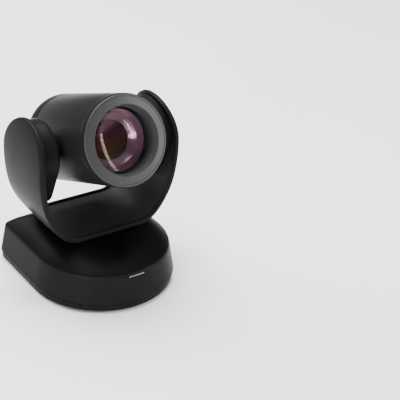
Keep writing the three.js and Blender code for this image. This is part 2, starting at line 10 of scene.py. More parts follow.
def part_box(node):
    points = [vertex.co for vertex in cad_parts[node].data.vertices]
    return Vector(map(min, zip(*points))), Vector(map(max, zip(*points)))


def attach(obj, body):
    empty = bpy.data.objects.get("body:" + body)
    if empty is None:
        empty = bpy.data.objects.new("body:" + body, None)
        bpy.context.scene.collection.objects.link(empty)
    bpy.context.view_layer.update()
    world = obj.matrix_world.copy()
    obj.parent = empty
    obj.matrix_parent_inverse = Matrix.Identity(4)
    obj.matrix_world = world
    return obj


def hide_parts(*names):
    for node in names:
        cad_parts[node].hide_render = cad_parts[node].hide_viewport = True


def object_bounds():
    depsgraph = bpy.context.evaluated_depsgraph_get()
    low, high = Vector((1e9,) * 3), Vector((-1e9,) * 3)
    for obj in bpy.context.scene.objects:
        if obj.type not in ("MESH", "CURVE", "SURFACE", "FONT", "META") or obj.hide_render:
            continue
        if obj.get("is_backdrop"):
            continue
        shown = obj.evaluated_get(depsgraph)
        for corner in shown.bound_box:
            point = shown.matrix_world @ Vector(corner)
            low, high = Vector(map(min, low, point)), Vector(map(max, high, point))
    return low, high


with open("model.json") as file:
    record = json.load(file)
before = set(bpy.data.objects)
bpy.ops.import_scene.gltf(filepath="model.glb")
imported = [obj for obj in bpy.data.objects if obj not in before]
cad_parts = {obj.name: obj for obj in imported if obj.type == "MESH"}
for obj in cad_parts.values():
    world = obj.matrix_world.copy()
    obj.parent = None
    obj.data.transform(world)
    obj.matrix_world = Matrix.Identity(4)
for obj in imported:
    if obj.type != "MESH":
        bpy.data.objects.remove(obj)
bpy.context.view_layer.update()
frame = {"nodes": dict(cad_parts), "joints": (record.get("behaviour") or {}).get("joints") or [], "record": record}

# ---------------------------------------------------------------- driving places and sizes
MM = 0.001
joints = {joint["name"]: joint for joint in frame["joints"]}
pivot = Vector(joints["tilt"]["pos_m"])
rearward = Vector(joints["zoom_slide"]["axis"])  # along the head, away from the lens
HEAD = Matrix.Translation(pivot) @ Matrix.Rotation(math.atan2(rearward.z, rearward.y), 4, "X")
PAN_Y = pivot.y

base_low, base_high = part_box("base_cover")
yoke_low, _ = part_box("yoke_shell")

NOSE_Y = PAN_Y - 17.5 * MM  # centre of the base's half-round front
BASE = {
    "half_width": base_high.x,
    "nose_reach": NOSE_Y - base_low.y,
    "rear": base_high.y,
    "corner": 11 * MM,
    "under": base_low.z,
    "band_low": 8.5 * MM,
    "band_high": 37 * MM,
    "band_inset": 5.5 * MM,
    "rear_share": 4.5 / 5.5,  # the rear leans in less than the sides
    "deck_top": base_high.z,
    "neck": 33 * MM,
    "wall": 2.4 * MM,
    "deck_power": 2.6,  # how fast the deck rises behind the band's edge
}
SEAM = {  # one of the skirt's two seams, measured from the nose's centre
    "azimuth": math.radians(44),  # from the front, to either side
    "half_width": 0.35 * MM,
    "near": 70.9 * MM,
    "far": 80 * MM,
    "top": 8 * MM,
}
YOKE = {
    "underside": yoke_low.z,
    "corner_radius": 31.3 * MM,
    "side_radius": 80.6 * MM,
    "upper_radius": 149 * MM,
    "side_centre": np.array([-5.7, 116.9]) * MM,
    "corner_angle": math.radians(42),
    "upper_angle": math.radians(12),
    "half_width": 38.3 * MM,
    "ear_z": 137 * MM,
    "wall": 3 * MM,
    "lip_depth": 6.4 * MM,
    "lip_width": 3.4 * MM,
    "lip_round": 1.1 * MM,
    "crown": 1.2 * MM,
    "rim_round": 3.0 * MM,
    "liner_depth": 4.4 * MM,
    "liner_seat": 3.3 * MM,  # where the liner's back begins, clear of the strap's wall
}
EAR = {
    "top": 31 * MM,  # radius of the housing's upper end
    "toe": 18 * MM,  # and of its lower end
    "drop": 34 * MM,  # from one centre to the other
    "wall": 2 * MM,
    "round_edge": 4.5 * MM,
    "hole": 11.3 * MM,
    "straight": 8 * MM,  # how far out the housing keeps its size
    "liner_gap": 0.2 * MM,
}
CAP_SLOT = {"rows": 6, "pitch": 6, "half_height": 1.1, "longest": 22, "shortening": 1.5}  # mm


# ---------------------------------------------------------------- mesh helpers
CREASE = math.radians(32)
BEVEL_STEPS = 3


def finish_mesh(obj):
    """Smooth shading, with creases kept where faces meet at more than CREASE."""
    mesh = obj.data
    work = bmesh.new()
    work.from_mesh(mesh)
    bmesh.ops.remove_doubles(work, verts=work.verts, dist=1e-6)
    bmesh.ops.dissolve_degenerate(work, edges=work.edges, dist=1e-6)
    bmesh.ops.recalc_face_normals(work, faces=work.faces)
    for edge in work.edges:
        edge.smooth = len(edge.link_faces) == 2 and edge.calc_face_angle(0) < CREASE
    for face in work.faces:
        face.smooth = True
    work.to_mesh(mesh)
    work.free()
    return obj


def make(name, points, faces, matrix=Matrix.Identity(4)):
    """An object from points and faces."""
    mesh = bpy.data.meshes.new(name)
    mesh.from_pydata([tuple(point) for point in points], [], faces)
    mesh.transform(matrix)
    obj = bpy.data.objects.new(name, mesh)
    bpy.context.scene.collection.objects.link(obj)
    return finish_mesh(obj)


def skin(name, rings, closed=True, matrix=Matrix.Identity(4)):
    """Joins rings of equal point counts. A closed stack comes back to its first ring.

    An open stack is left open at its end rings; where a caller makes those rings flat, its edges meet along the
    fold.
    """
    count = len(rings[0])
    points = [point for ring in rings for point in ring]
    faces = []
    for level in range(len(rings) if closed else len(rings) - 1):
        upper = (level + 1) % len(rings)
        for i in range(count):
            j = (i + 1) % count
            faces.append((level * count + i, level * count + j, upper * count + j, upper * count + i))
    return make(name, points, faces, matrix)


def filleted(corners, steps=5):
    """A closed outline from (u, v, radius) corners, each rounded by an arc of that radius."""
    outline = []
    total = len(corners)
    for i, (u, v, radius) in enumerate(corners):
        here = np.array([u, v], float)
        before = np.array(corners[i - 1][:2], float) - here
        after = np.array(corners[(i + 1) % total][:2], float) - here
        long_before, long_after = np.linalg.norm(before), np.linalg.norm(after)
        before, after = before / long_before, after / long_after
        turn = math.acos(np.clip(before @ after, -1, 1))
        if radius <= 0 or turn > math.pi - 1e-3 or turn < 1e-3:
            outline.append(here)
            continue
        reach = min(radius / math.tan(turn / 2), long_before * 0.48, long_after * 0.48)
        radius = reach * math.tan(turn / 2)
        middle = (before + after) / np.linalg.norm(before + after)
        centre = here + middle * radius / math.sin(turn / 2)
        first, last = here + before * reach - centre, here + after * reach - centre
        sweep = math.atan2(first[0] * last[1] - first[1] * last[0], first @ last)
        for k in range(steps + 1):
            c, s = math.cos(sweep * k / steps), math.sin(sweep * k / steps)
            arm = np.array([first[0] * c - first[1] * s, first[0] * s + first[1] * c])
            outline.append(centre + arm)
    return outline


def turned(name, corners, segments=144, matrix=HEAD, steps=5):
    """A solid of revolution about the matrix's Y axis from (radius, distance, corner radius) in mm."""
    outline = [(max(u, 0) * MM, v * MM) for u, v in filleted(corners, steps)]
    angles = [2 * math.pi * k / segments for k in range(segments)]
    rings = [[(r * math.cos(a), s, r * math.sin(a)) for a in angles] for r, s in outline]
    return skin(name, rings, True, matrix)


def box_mesh(name, low, high, bevel=0.0, matrix=Matrix.Identity(4)):
    """A block between two corners in metres, with rounded edges."""
    work = bmesh.new()
    bmesh.ops.create_cube(work, size=1)
    low, high = Vector(low), Vector(high)
    for vert in work.verts:
        vert.co = Vector((low[i] + (vert.co[i] + 0.5) * (high[i] - low[i]) for i in range(3)))
    if bevel:
        bmesh.ops.bevel(
            work, geom=list(work.edges), offset=bevel, segments=BEVEL_STEPS, affect="EDGES", profile=0.5
        )
    mesh = bpy.data.meshes.new(name)
    work.to_mesh(mesh)
    work.free()
    mesh.transform(matrix)
    obj = bpy.data.objects.new(name, mesh)
    bpy.context.scene.collection.objects.link(obj)
    return finish_mesh(obj)


def cut(obj, cutters):
    """Takes the cutters out of obj and removes them."""
    for cutter in cutters:
        modifier = obj.modifiers.new("cut", "BOOLEAN")
        modifier.operation = "DIFFERENCE"
        modifier.solver = "EXACT"
        modifier.object = cutter
    bpy.context.view_layer.update()
    evaluated = obj.evaluated_get(bpy.context.evaluated_depsgraph_get())
    mesh = bpy.data.meshes.new_from_object(evaluated)
    obj.modifiers.clear()
    obj.data = mesh
    for cutter in cutters:
        bpy.data.objects.remove(cutter)
    return finish_mesh(obj)


def joined(name, parts):
    """One object from several, in place."""
    work = bmesh.new()
    for part in parts:
        work.from_mesh(part.data)
        bpy.data.objects.remove(part)
    mesh = bpy.data.meshes.new(name)
    work.to_mesh(mesh)
    work.free()
    obj = bpy.data.objects.new(name, mesh)
    bpy.context.scene.collection.objects.link(obj)
    return finish_mesh(obj)


# ---------------------------------------------------------------- materials
def material(
    name, base, second, roughness, grain, bump, metallic=0.0, mottle=60.0, extra=None, spread=0.06
):
    """Colour drifts between base and second; a fine grain sets roughness and bump.

    Grain and mottle are in noise cells per metre.
    """
    mat = bpy.data.materials.new(name)
    mat.use_nodes = True
    tree = mat.node_tree
    shader = tree.nodes["Principled BSDF"]
    shader.inputs["Metallic"].default_value = metallic
    place = tree.nodes.new("ShaderNodeTexCoord")
    drift = tree.nodes.new("ShaderNodeTexNoise")
    drift.inputs["Scale"].default_value = mottle
    drift.inputs["Detail"].default_value = 4
    fine = tree.nodes.new("ShaderNodeTexNoise")
    fine.inputs["Scale"].default_value = grain
    fine.inputs["Detail"].default_value = 2
    tint = tree.nodes.new("ShaderNodeMix")
    tint.data_type = "RGBA"
    tint.inputs["A"].default_value = (*base, 1)
    tint.inputs["B"].default_value = (*second, 1)
    rough = tree.nodes.new("ShaderNodeMapRange")
    rough.inputs["To Min"].default_value = roughness - spread
    rough.inputs["To Max"].default_value = roughness + spread
    relief = tree.nodes.new("ShaderNodeBump")
    relief.inputs["Strength"].default_value = bump
    relief.inputs["Distance"].default_value = 0.0001
    links = tree.links
    links.new(place.outputs["Object"], drift.inputs["Vector"])
    links.new(place.outputs["Object"], fine.inputs["Vector"])
    links.new(drift.outputs["Fac"], tint.inputs["Factor"])
    links.new(tint.outputs["Result"], shader.inputs["Base Color"])
    links.new(fine.outputs["Fac"], rough.inputs["Value"])
    links.new(rough.outputs["Result"], shader.inputs["Roughness"])
    links.new(fine.outputs["Fac"], relief.inputs["Height"])
    links.new(relief.outputs["Normal"], shader.inputs["Normal"])
    for socket, value in (extra or {}).items():
        shader.inputs[socket].default_value = value
    return mat


def grey(level):
    return (level, level, level)


def plastic(name, darkest, lightest, roughness, grain, bump, specular):
    """A moulded plastic between two greys."""
    return material(
        name, grey(darkest), grey(lightest), roughness, grain, bump,
        extra={"Specular IOR Level": specular},
    )


MATERIALS = {
    "charcoal": plastic("satin_charcoal", 0.0085, 0.0115, 0.34, 2600, 0.22, 0.025),
    # Darker than the charcoal band: painted shade, standing in for the shade under the yoke on the base's deck.
    "deck": plastic("deck_painted_shade", 0.0030, 0.0042, 0.40, 2600, 0.15, 0.04),
    # Lighter than the charcoal shell it matches: painted light on the yoke's inner face.
    "liner": plastic("liner_painted_light", 0.018, 0.023, 0.40, 2400, 0.22, 0.05),
    "ring": plastic("ring_grey", 0.028, 0.034, 0.40, 2800, 0.18, 0.30),
    "black": plastic("matt_black", 0.005, 0.008, 0.55, 2200, 0.3, 0.35),
    "bore": plastic("bore_black", 0.002, 0.003, 0.60, 2600, 0.2, 0.2),
    "rubber": material("rubber", grey(0.012), grey(0.018), 0.78, 1600, 0.6, mottle=200),
    "steel": material("brushed_steel", grey(0.50), grey(0.58), 0.32, 1800, 0.25, 1.0),
    "aluminium": material("aluminium", grey(0.66), grey(0.72), 0.36, 2200, 0.2, 1.0),
    "brass": material("brass", (0.62, 0.44, 0.18), (0.70, 0.52, 0.24), 0.28, 2000, 0.2, 1.0),
    "board": material(
        "solder_mask", (0.012, 0.075, 0.030), (0.018, 0.10, 0.045), 0.38, 900, 0.3, mottle=300,
    ),
    "window": material("frosted_window", grey(0.12), grey(0.16), 0.35, 1800, 0.1),
    # Dark steel for the tilt shafts: painted shade in the gap between the ear housings and the barrel.
    "dark_steel": material("steel_painted_shade", grey(0.020), grey(0.028), 0.42, 1800, 0.25, 0.6),
    "contact": material("gold_contact", (0.75, 0.55, 0.22), (0.80, 0.60, 0.28), 0.25, 2400, 0.1, 1.0),
    "glass": material(
        "coated_glass", (0.86, 0.74, 0.82), (0.90, 0.78, 0.86), 0.02, 900, 0.0, spread=0.008,
        extra={
            "Transmission Weight": 1.0, "IOR": 1.5,
            "Thin Film Thickness": 105.0, "Thin Film IOR": 1.38,
        },
    ),
    # Mauve on the lens cell is painted reflection; the cell itself is black plastic.
    "cell": material(
        "cell_painted_reflection", (0.27, 0.175, 0.22), (0.36, 0.24, 0.295), 0.24, 1200, 0.05, 0.4, mottle=90,
        extra={"Coat Weight": 0.6, "Coat Roughness": 0.12},
    ),
}


def pupil_material():
    """Dark coated inner glass with a painted reflection: maroon above, running to olive brown below."""
    mat = material(
        "pupil_glass_painted_reflection", (0.070, 0.006, 0.030), (0.085, 0.009, 0.038), 0.10, 900, 0.0, spread=0.02,
        extra={"Specular IOR Level": 0.15},
    )
    tree = mat.node_tree
    place = next(node for node in tree.nodes if node.type == "TEX_COORD")
    split = tree.nodes.new("ShaderNodeSeparateXYZ")
    height = tree.nodes.new("ShaderNodeMapRange")
    height.inputs["From Min"].default_value = pivot.z - 2 * MM
    height.inputs["From Max"].default_value = pivot.z + 24 * MM
    # Olive brown towards the bottom, maroon towards the top: painted reflection.
    reflection_blend = tree.nodes.new("ShaderNodeMix")
    reflection_blend.data_type = "RGBA"
    reflection_blend.inputs["A"].default_value = (0.095, 0.062, 0.005, 1)
    tint = next(node for node in tree.nodes if node.type == "MIX" and node != reflection_blend)
    tree.links.new(place.outputs["Object"], split.inputs["Vector"])
    tree.links.new(split.outputs["Z"], height.inputs["Value"])
    tree.links.new(height.outputs["Result"], reflection_blend.inputs["Factor"])
    tree.links.new(tint.outputs["Result"], reflection_blend.inputs["B"])
    tree.links.new(reflection_blend.outputs["Result"], tree.nodes["Principled BSDF"].inputs["Base Color"])
    return mat


MATERIALS["pupil"] = pupil_material()


def dress(obj, finish, body, slot, *nodes):
    """Gives a piece its material and its body, and hides the CAD nodes it stands for; the slot is not used."""
    obj.data.materials.clear()
    obj.data.materials.append(MATERIALS[finish])
    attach(obj, body)
    if nodes:
        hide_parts(*nodes)
    return obj


# ---------------------------------------------------------------- base
def plan(inset, z, count_nose=120, count_side=14, count_corner=14, count_rear=40):
    """The base's outline at an inset and a height: round front, straight sides, flat rear."""
    half = BASE["half_width"] - inset
    rear = BASE["rear"] - inset * BASE["rear_share"]
    corner = max(BASE["corner"] - inset, 2 * MM)
    nose, reach = NOSE_Y, BASE["nose_reach"] - inset
    ring = []
    for k in range(count_nose):
        a = math.pi + math.pi * k / count_nose
        ring.append((half * math.cos(a), nose + reach * math.sin(a), z))
    for k in range(count_side):
        ring.append((half, nose + (rear - corner - nose) * k / count_side, z))
    for k in range(count_corner):
        a = math.pi / 2 * k / count_corner
        ring.append((half - corner + corner * math.cos(a), rear - corner + corner * math.sin(a), z))
    for k in range(count_rear):
        ring.append(((half - corner) * (1 - 2 * k / count_rear), rear, z))
    for k in range(count_corner):
        a = math.pi / 2 + math.pi / 2 * k / count_corner
        ring.append((corner - half + corner * math.cos(a), rear - corner + corner * math.sin(a), z))
    for k in range(count_side):
        ring.append((-half, rear - corner + (nose - rear + corner) * k / count_side, z))
    return np.array(ring)


def deck_ring(share, depth=0.0):
    """A ring of the domed deck, from the band's top edge (0) to the neck (1)."""
    rim = plan(BASE["band_inset"] + depth, 0)
    axis = np.array([0, PAN_Y])
    outward = rim[:, :2] - axis
    neck = axis + outward / np.linalg.norm(outward, axis=1)[:, None] * BASE["neck"]
    rise = 1 - (1 - share) ** BASE["deck_power"]
    ring = rim.copy()
    ring[:, :2] = rim[:, :2] + (neck - rim[:, :2]) * share
    ring[:, 2] = BASE["band_high"] + (BASE["deck_top"] - BASE["band_high"]) * rise - depth
    return ring


def wall_rings():
    """Skirt, seam groove and band as rings of the outer skin."""
    low, high, inset = BASE["band_low"], BASE["band_high"], BASE["band_inset"]
    skirt = [
        (1.6 * MM, BASE["under"]), (1.1 * MM, low - 0.9 * MM), (1.5 * MM, low - 0.45 * MM),
        (1.5 * MM, low + 0.15 * MM), (0.5 * MM, low + 0.3 * MM), (0.25 * MM, low + 0.7 * MM),
    ]
    rings = [plan(*station) for station in skirt]
    top = high - 0.9 * MM
    for share in np.linspace(0.15, 1, 8):
        rings.append(plan(0.25 * MM + (inset - 0.4 * MM) * share, low + (top - low) * share))
    return rings


DECK_SHARES = [0.012, 0.03, 0.06, 0.1, 0.15, 0.21, 0.28, 0.37, 0.48, 0.62, 0.8, 0.97]
outer = wall_rings() + [deck_ring(share) for share in DECK_SHARES]
inner = [plan(4 * MM, BASE["under"]), plan(3.6 * MM, BASE["band_low"])]
inner += [deck_ring(share, BASE["wall"]) for share in (0, 0.06, 0.15, 0.28, 0.48, 0.97)]
cover = skin("base_shell", outer + inner[::-1])
bay_low, bay_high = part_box("io_panel")
window_low, window_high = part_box("indicator_window")
margin = 0.3 * MM
seam_cutters = []
for side in (-1, 1):
    turn = Matrix.Translation((0, NOSE_Y, 0)) @ Matrix.Rotation(SEAM["azimuth"] * side, 4, "Z")
    seam_low = (-SEAM["half_width"], -SEAM["far"], -1 * MM)
    seam_high = (SEAM["half_width"], -SEAM["near"], SEAM["top"])
    seam_cutters.append(box_mesh("seam_cutter", seam_low, seam_high, 0, turn))
bay_cutter = box_mesh(
    "bay_cutter",
    (bay_low.x - margin, bay_low.y - 3 * MM, bay_low.z - margin),
    (bay_high.x + margin, BASE["rear"] + 5 * MM, bay_high.z + margin),
    1.2 * MM,
)
window_cutter = box_mesh(
    "window_cutter",
    (window_low.x - margin, window_low.y - 6 * MM, window_low.z - margin),
    (window_high.x + margin, window_high.y + 3 * MM, window_high.z + margin),
    1.0 * MM,
)
cover = cut(cover, seam_cutters + [bay_cutter, window_cutter])
dress(cover, "charcoal", "base", "charcoal_shell", "base_cover")
# Upward faces above the band take the darker deck finish: painted shade under the yoke.
cover.data.materials.append(MATERIALS["deck"])
for face in cover.data.polygons:
    if face.center.z > BASE["band_high"] + 0.2 * MM and face.normal.z > 0.2:
        face.material_index = 1

window = box_mesh("indicator_lens", window_low, window_high, 0.9 * MM)
dress(window, "window", "base", "indicator", "indicator_window")


# ---------------------------------------------------------------- yoke
corner_shift = YOKE["side_radius"] - YOKE["corner_radius"]
upper_shift = YOKE["upper_radius"] - YOKE["side_radius"]
CORNER_CENTRE = YOKE["side_centre"] + corner_shift * np.array(
    [math.cos(YOKE["corner_angle"]), -math.sin(YOKE["corner_angle"])])
UPPER_CENTRE = YOKE["side_centre"] + upper_shift * np.array(
    [-math.cos(YOKE["upper_angle"]), math.sin(YOKE["upper_angle"])])
LENGTH_FLAT = CORNER_CENTRE[0]
LENGTH_CORNER = YOKE["corner_radius"] * (math.pi / 2 - YOKE["corner_angle"])
LENGTH_SIDE = YOKE["side_radius"] * (YOKE["corner_angle"] - YOKE["upper_angle"])


def strap(along, depth=0.0):
    """(x, z) on the strap at a distance from its middle, depth inside its outer face."""
    s = abs(along)
    if s <= LENGTH_FLAT:
        x, z = s, YOKE["underside"] + depth
    elif s <= LENGTH_FLAT + LENGTH_CORNER:
        a = -math.pi / 2 + (s - LENGTH_FLAT) / YOKE["corner_radius"]
        x, z = CORNER_CENTRE + (YOKE["corner_radius"] - depth) * np.array([math.cos(a), math.sin(a)])
    elif s <= LENGTH_FLAT + LENGTH_CORNER + LENGTH_SIDE:
        a = -YOKE["corner_angle"] + (s - LENGTH_FLAT - LENGTH_CORNER) / YOKE["side_radius"]
        x, z = YOKE["side_centre"] + (YOKE["side_radius"] - depth) * np.array([math.cos(a), math.sin(a)])
    else:
        past_side = s - LENGTH_FLAT - LENGTH_CORNER - LENGTH_SIDE
        a = -YOKE["upper_angle"] + past_side / YOKE["upper_radius"]
        x, z = UPPER_CENTRE + (YOKE["upper_radius"] - depth) * np.array([math.cos(a), math.sin(a)])
    return math.copysign(x, along) if along else 0.0, z


def along_at(z):
    """The distance along the strap at which its outer face reaches the height z, on the right."""
    sine = (z - UPPER_CENTRE[1]) / YOKE["upper_radius"]
    upper = (math.asin(sine) + YOKE["upper_angle"]) * YOKE["upper_radius"]
    return LENGTH_FLAT + LENGTH_CORNER + LENGTH_SIDE + upper


def strap_loop(inset, count_ear=64, count_side=130):
    """(along, y) round the strap's edge, moved in by inset: two half-round ears, two long sides."""
    radius = YOKE["half_width"] - inset
    reach = along_at(YOKE["ear_z"])
    loop = []
    for k in range(count_ear):
        a = math.pi * k / count_ear
        loop.append((along_at(YOKE["ear_z"] + radius * math.sin(a)), radius * math.cos(a)))
    for k in range(count_side):
        loop.append((reach - 2 * reach * k / count_side, -radius))
    for k in range(count_ear):
        a = math.pi * k / count_ear
        loop.append((-along_at(YOKE["ear_z"] + radius * math.sin(a)), -radius * math.cos(a)))
    for k in range(count_side):
        loop.append((-reach + 2 * reach * k / count_side, radius))
    return loop


def strap_ring(inset, depth):
    """The strap's edge at an inset, as a ring of points at a depth inside its outer face."""
    ring = []
    for along, y in strap_loop(inset):
        x, z = strap(along, depth)
        ring.append((x, PAN_Y + y, z))
    return ring


def crown(inset):
    """How far the outer face falls away towards the strap's edge."""
    return YOKE["crown"] * (1 - inset / YOKE["half_width"]) ** 3


YOKE_HALF = YOKE["half_width"]
stations = [(YOKE_HALF, 0)]
stations += [(inset * MM, crown(inset * MM)) for inset in (34, 29, 24, 19, 14, 10, 7, 5, 3.9)]
rim = YOKE["rim_round"]
for k in range(6):
    a = math.pi / 2 * k / 5
    stations.append((rim * (1 - math.sin(a)), crown(rim) + rim * (1 - math.cos(a))))
lip, depth, small = YOKE["lip_width"], YOKE["lip_depth"], YOKE["lip_round"]
for k in range(5):
    a = math.pi / 2 * k / 4
    stations.append((small * (1 - math.cos(a)), depth - small * (1 - math.sin(a))))
for k in range(5):
    a = math.pi / 2 * k / 4
    stations.append((lip - small * (1 - math.sin(a)), depth - small * (1 - math.cos(a))))
stations += [(inset, YOKE["wall"]) for inset in (lip + 0.1 * MM, YOKE_HALF * 0.5, YOKE_HALF)]
shell = skin("yoke_strap", [strap_ring(inset, deep) for inset, deep in stations], closed=False)
dress(shell, "charcoal", "yoke", "charcoal_shell", "yoke_shell")

# The liner covers the whole inside of the strap; the ear housings stand on it.
edge = lip + 0.35 * MM
front, seat = YOKE["liner_depth"], YOKE["liner_seat"]
liner_stations = [
    (YOKE_HALF, front), (YOKE_HALF * 0.6, front), (YOKE_HALF * 0.3, front),
    (edge + 0.5 * MM, front), (edge + 0.15 * MM, front - 0.15 * MM), (edge, front - 0.5 * MM),
    (edge, seat), (YOKE_HALF * 0.5, seat), (YOKE_HALF, seat),
]
liner = skin("yoke_liner", [strap_ring(inset, deep) for inset, deep in liner_stations], closed=False)
# The liner's lighter finish is painted light.
dress(liner, "liner", "yoke", "charcoal_shell", "yoke_inner_trim")


def teardrop(top, toe, drop, count=180):
    """Two circles, one drop below the other, wrapped by their tangents.

    The points (y, z), from the upper centre, are where rays at even angles leave the shape.
    """
    lean = math.asin((top - toe) / drop)
    points = []
    for k in range(count):
        a = 2 * math.pi * k / count
        y, z = math.cos(a), math.sin(a)
        if z >= -math.sin(lean):
            reach = top
        else:
            side = abs(y) * math.cos(lean) - z * math.sin(lean)
            tangent = top / side if side > 1e-9 else math.inf
            past_tangent = tangent * z < -drop - toe * math.sin(lean)
            on_toe = -drop * z + math.sqrt(max(toe ** 2 - (drop * y) ** 2, 0))
            reach = on_toe if past_tangent else tangent
        points.append((reach * y, reach * z))
    return points


def strap_x(z, depth):
    """The strap's x at a height, on the right, at a depth inside its outer face."""
    low, high = 0.0, along_at(YOKE["ear_z"] + YOKE_HALF)
    for _ in range(40):
        middle = (low + high) / 2
        if strap(middle, depth)[1] < z:
            low = middle
        else:
            high = middle
    return strap(low, depth)[0]


def ear_housing(side, name):
    """A cup standing on the liner, with a hole for the tilt shaft in its inner face."""
    top, toe, drop = EAR["top"], EAR["toe"], EAR["drop"]
    wall, round_edge, hole = EAR["wall"], EAR["round_edge"], EAR["hole"]
    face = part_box("ear_housing_right")[0].x
    housing_end = YOKE["liner_depth"] + EAR["liner_gap"]

    def ring_at(inset, advance):
        return [
            (side * (face + advance), PAN_Y + y, pivot.z + z)
            for y, z in teardrop(top - inset, toe - inset, drop)
        ]

    def end_ring(inset):
        return [
            (side * strap_x(pivot.z + z, housing_end), PAN_Y + y, pivot.z + z)
            for y, z in teardrop(top - inset, toe - inset, drop)
        ]

    def hole_ring(advance):
        count = len(teardrop(top, toe, drop))
        angles = [2 * math.pi * k / count for k in range(count)]
        x = side * (face + advance)
        return [(x, PAN_Y + hole * math.cos(a), pivot.z + hole * math.sin(a)) for a in angles]

    rings = [hole_ring(0), ring_at(round_edge + 4 * MM, 0)]
    for k in range(7):
        a = math.pi / 2 * k / 6
        rings.append(ring_at(round_edge * (1 - math.sin(a)), round_edge * (1 - math.cos(a))))
    rings += [ring_at(0, EAR["straight"]), end_ring(0), end_ring(wall)]
    rings += [ring_at(wall + 1 * MM, wall), hole_ring(wall)]
    return skin(name, rings)


for side, name in ((-1, "left"), (1, "right")):
    housing = ear_housing(side, f"ear_cover_{name}")
    dress(housing, "charcoal", "yoke", "charcoal_shell", f"ear_housing_{name}")

# ---------------------------------------------------------------- head
# Distances are along the head from the tilt axis, rearward positive, in mm.
barrel = turned("head_barrel_skin", [
    (40.7, -63.0, 0.3), (43.1, -63.0, 0.6), (43.1, -55.3, 0.15), (42.8, -55.1, 0), (42.8, -54.7, 0),
    (43.1, -54.5, 0.15), (43.1, 41.7, 0.5), (40.7, 41.7, 0.3),
], 176)
dress(barrel, "charcoal", "head", "charcoal_shell", "head_barrel")

cap = turned("head_cap", [
    (0, 56.0, 0), (43.1, 56.0, 2.6), (43.1, 42.0, 0.5),
    (40.7, 42.0, 0.3), (40.7, 53.4, 1.0), (0, 53.4, 0),
], 176)
cutters = []
for k in range(CAP_SLOT["rows"]):
    row = k - (CAP_SLOT["rows"] - 1) / 2
    reach = (CAP_SLOT["longest"] - abs(row) * CAP_SLOT["shortening"]) * MM
    low = (row * CAP_SLOT["pitch"] - CAP_SLOT["half_height"]) * MM
    high = (row * CAP_SLOT["pitch"] + CAP_SLOT["half_height"]) * MM
    cutters.append(box_mesh(
        "slot_cutter", (-reach, 50 * MM, low), (reach, 60 * MM, high), 0.9 * MM, HEAD))
cap = cut(cap, cutters)
dress(cap, "charcoal", "head", "charcoal_shell", "head_rear_cap")

ring = turned("lens_ring", [
    (42.3, -63.3, 0.1), (42.3, -64.6, 0.7), (40.8, -65.0, 0.2), (40.5, -64.4, 0.05), (33.0, -66.7, 0.6),
    (30.8, -59.9, 0.4), (30.8, -54.0, 0.2), (40.4, -54.0, 0.4), (40.4, -63.3, 0),
], 192, steps=6)
dress(ring, "ring", "head", "front_ring", "front_ring")

hood_outline = [(34.0, -43.5, 0.2), (34.0, -53.7, 0.2)]
for k in range(8):  # light-trap ridges, one a millimetre
    hood_outline += [(30.8, -53.5 + k, 0.1), (31.3, -53.0 + k, 0.1)]
hood_outline += [(30.8, -45.4, 0.1), (29.6, -45.2, 0.1), (29.6, -43.5, 0.1)]
hood = turned("bore_baffles", hood_outline, 144, steps=2)
dress(hood, "bore", "head", "black_plastic", "lens_hood")

keeper = turned("lens_keeper", [
    (29.35, -46.0, 0.1), (29.35, -48.4, 0.2), (29.8, -48.8, 0.2),
    (30.6, -48.4, 0.2), (30.6, -46.0, 0.1),
], 144, steps=3)
dress(keeper, "bore", "head", "black_plastic")


def dome(radius, front, sag, back, steps=24, edge=0.35):
    """A lens outline: spherical front, ground edge, flat back."""
    sphere = (radius ** 2 + sag ** 2) / (2 * sag)
    outline = []
    for k in range(steps + 1):
        r = (radius - edge) * k / steps
        outline.append((r, front + sphere - math.sqrt(sphere ** 2 - r ** 2), 0))
    outline += [(radius, front + sag + edge, 0), (radius, back, 0.2), (0, back, 0)]
    return outline


front_glass = turned("front_element", dome(29.2, -52.0, 4.9, -46.6), 144)
dress(front_glass, "glass", "head", "glass", "front_lens")

cell = turned("front_cell", [
    (29.2, -45.6, 0.1), (28.9, -46.2, 0.1), (23.5, -39.6, 5.0), (16.6, -34.6, 0.4), (16.4, -33.0, 0.2),
    (27.2, -30.0, 0.2), (27.2, -43.0, 0.2),
], 144)
# The cell's mauve finish is painted reflection.
dress(cell, "cell", "head", "black_plastic", "front_group_cell")
pupil = turned("inner_element", dome(16.2, -35.0, 1.8, -32.0), 128)
dress(pupil, "pupil", "head", "glass", "inner_lens")

# ---------------------------------------------------------------- rear sockets
USB_HALF = (4.45 * MM, 4.15 * MM)  # outer half width and half height of the metal frame
LAN_HALF = (5.95 * MM, 4.45 * MM)
FRAME_WALL = 0.5 * MM
FRAME_DEPTH = 8 * MM
FRAME_PROUD = 0.2 * MM
DIN_CIRCLE = 2.4 * MM  # radius on which the round socket's pins stand
PIN_COUNT = 8


def mouth(node):
    """The middle of a socket's mouth, on its rear face."""
    low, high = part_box(node)
    return Vector(((low.x + high.x) / 2, high.y, (low.z + high.z) / 2))


def mouth_frame(name, centre, half_x, half_z):
    """A thin metal frame round a socket's mouth."""
    corner = 0.4 * MM
    outline = filleted([
        (half_x, half_z, corner), (-half_x, half_z, corner),
        (-half_x, -half_z, corner), (half_x, -half_z, corner),
    ], 3)
    rings = []
    for shrink, reach in (
        (0, -FRAME_DEPTH), (0, FRAME_PROUD), (FRAME_WALL, FRAME_PROUD), (FRAME_WALL, -FRAME_DEPTH)
    ):
        rings.append([
            (
                centre.x + u - math.copysign(shrink, u),
                centre.y + reach,
                centre.z + v - math.copysign(shrink, v),
            )
            for u, v in outline
        ])
    return skin(name, rings)


def inside(name, centre, low, high, bevel):
    """A block in a socket, between two corners in mm from the middle of its mouth."""
    return box_mesh(name, centre + Vector(low) * MM, centre + Vector(high) * MM, bevel)


